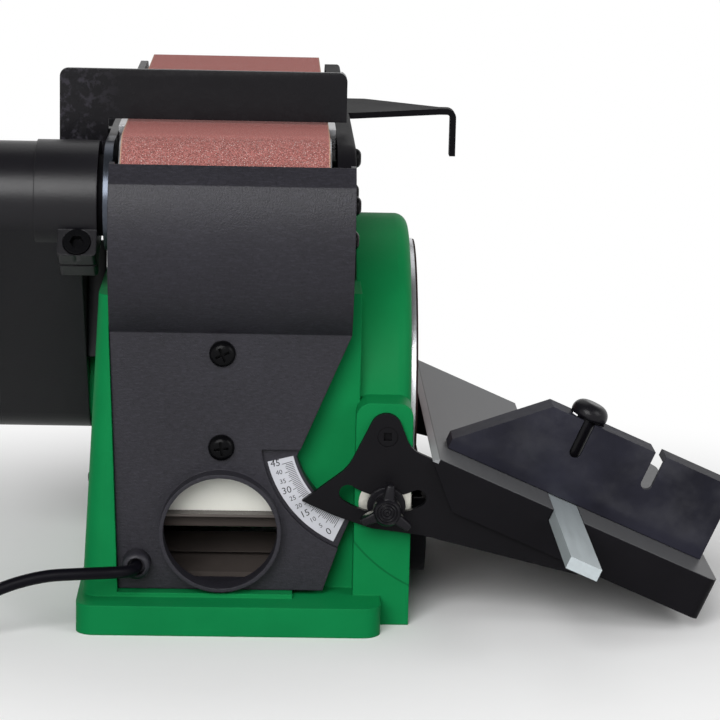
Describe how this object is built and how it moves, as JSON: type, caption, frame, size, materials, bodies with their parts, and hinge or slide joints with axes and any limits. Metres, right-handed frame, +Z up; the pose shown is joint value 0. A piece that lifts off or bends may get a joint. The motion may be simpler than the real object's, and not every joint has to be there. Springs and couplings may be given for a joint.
{
  "type": "belt and disc sander",
  "caption": "Bench-top belt and disc sander with a tilting belt arm, cast base, disc guard, tilting table, sliding mitre gauge, belt tension lever and dust port.",
  "frame": {"origin": "centre of the base's bolt pattern on its underside, under the belt's centreline and the disc axis", "axes": "+Z up, +Y along the belt arm towards its idler end, +X towards the disc and the table"},
  "size_m": [0.5321, 0.5109, 0.2665],
  "materials": {
    "green_paint": "satin enamel",
    "dark_cover": "fine texture",
    "black_plastic": "satin",
    "black_enamel": "gloss",
    "cord_black": "satin",
    "black_rubber": "matte",
    "abrasive": "grit on cloth",
    "scale_label": "printed label",
    "zinc": "zinc plated",
    "black_oxide": "black oxide",
    "steel": "machined",
    "aluminium": "machined casting",
    "bracket_paint": "satin"
  },
  "bodies": {
    "base": {"base": "green_paint", "front_cover": "dark_cover", "cover_screws": "black_oxide", "angle_scale": "scale_label", "chute_plate": "zinc", "cord_grommet": "dark_cover", "power_cord": "cord_black", "cord_coil": "cord_black", "cord_tie": "cord_black", "plug": "cord_black", "drive_case": "black_plastic", "clamp_screw": "black_oxide", "drive_cover": "black_plastic", "drive_screws": "zinc", "drive_belt": "black_rubber", "motor_housing": "aluminium", "motor_stator": "steel", "motor_end_bells": "aluminium", "motor_bearings": "steel", "motor_bolts": "zinc", "lower_disc_guard": "black_plastic", "guard_screws": "zinc", "trunnion_pins": "zinc", "switch_body": "black_plastic"},
    "rotor": {"motor_rotor": "steel", "motor_shaft": "steel", "motor_fan": "black_plastic", "motor_pulley": "aluminium", "sanding_disc": "aluminium", "abrasive_disc": "abrasive"},
    "arm": {"arm_sleeve": "steel", "arm_left_plate": "zinc", "arm_right_cover": "black_enamel", "arm_ties": "steel", "arm_screws": "black_oxide", "platen": "steel", "sanding_belt": "abrasive", "drum_bearings": "steel", "tension_spring": "steel", "stop_bolt": "black_oxide"},
    "drum": {"drive_drum": "aluminium", "drum_shaft": "steel", "drum_pulley": "aluminium"},
    "carriage": {"idler_fork": "steel", "idler_axle": "steel", "idler_bearings": "steel"},
    "idler": {"idler_drum": "aluminium"},
    "lever": {"tension_lever": "black_enamel"},
    "tracking": {"tracking_knob": "black_plastic"},
    "stop": {"work_stop": "black_enamel"},
    "table": {"table": "black_enamel", "table_bracket_front": "bracket_paint", "table_bracket_rear": "bracket_paint", "bracket_screws": "zinc"},
    "front_knob": {"table_knob_front": "black_plastic"},
    "rear_knob": {"table_knob_rear": "black_plastic"},
    "mitre_slide": {"mitre_bar": "aluminium"},
    "mitre_head": {"mitre_head": "black_enamel"},
    "mitre_knob": {"mitre_knob": "black_plastic"},
    "rocker": {"switch_rocker": "black_plastic"}
  },
  "joints": [
    {"name": "disc_spin", "type": "hinge", "parent": "base", "child": "rotor", "pos_m": [0, 0, 0.1], "axis": [1, 0, 0], "continuous": true},
    {"name": "arm_tilt", "type": "hinge", "parent": "base", "child": "arm", "pos_m": [0, -0.078, 0.209], "axis": [1, 0, 0], "range_deg": [0, 90]},
    {"name": "drum_spin", "type": "hinge", "parent": "arm", "child": "drum", "pos_m": [0, -0.078, 0.209], "axis": [1, 0, 0], "continuous": true},
    {"name": "tension_lever", "type": "hinge", "parent": "arm", "child": "lever", "pos_m": [0.03, 0.08, 0.2335], "axis": [0, 0, 1], "range_deg": [0, 25]},
    {"name": "idler_tension", "type": "slide", "parent": "arm", "child": "carriage", "axis": [0, 1, 0], "range_m": [-0.0137, 0], "deforming": ["tension_spring"]},
    {"name": "idler_spin", "type": "hinge", "parent": "carriage", "child": "idler", "pos_m": [0, 0.28338, 0.209], "axis": [1, 0, 0], "continuous": true},
    {"name": "tracking_turn", "type": "hinge", "parent": "arm", "child": "tracking", "pos_m": [-0.065, 0.24538, 0.209], "axis": [-1, 0, 0], "range_deg": [-180, 180]},
    {"name": "stop_height", "type": "slide", "parent": "arm", "child": "stop", "axis": [0, 0, 1], "range_m": [-0.001, 0.009]},
    {"name": "table_tilt", "type": "hinge", "parent": "base", "child": "table", "pos_m": [0.0815, 0, 0.097], "axis": [0, 1, 0], "range_deg": [-23.5, 21.5]},
    {"name": "front_knob_turn", "type": "hinge", "parent": "base", "child": "front_knob", "pos_m": [0.0815, -0.12, 0.0625], "axis": [0, -1, 0], "range_deg": [0, 180]},
    {"name": "rear_knob_turn", "type": "hinge", "parent": "base", "child": "rear_knob", "pos_m": [0.0815, 0.12, 0.0625], "axis": [0, 1, 0], "range_deg": [0, 180]},
    {"name": "mitre_travel", "type": "slide", "parent": "table", "child": "mitre_slide", "axis": [0, 1, 0], "range_m": [-0.04, 0.13]},
    {"name": "mitre_angle", "type": "hinge", "parent": "mitre_slide", "child": "mitre_head", "pos_m": [0.16712, -0.073, 0.06119], "axis": [0.3987, 0, 0.9171], "range_deg": [-45, 45]},
    {"name": "mitre_lock", "type": "hinge", "parent": "mitre_slide", "child": "mitre_knob", "pos_m": [0.16712, -0.073, 0.06119], "axis": [0.3987, 0, 0.9171], "range_deg": [0, 180]},
    {"name": "switch_press", "type": "hinge", "parent": "base", "child": "rocker", "pos_m": [-0.066, 0.066, 0.076], "axis": [0, 1, 0], "range_deg": [0, 16]}
  ],
  "couplings": [
    {"joint": "drum_spin", "follows": "disc_spin", "ratio": 1},
    {"joint": "idler_spin", "follows": "disc_spin", "ratio": 1},
    {"joint": "idler_tension", "follows": "tension_lever", "m_per_rad": -0.0312}
  ]
}
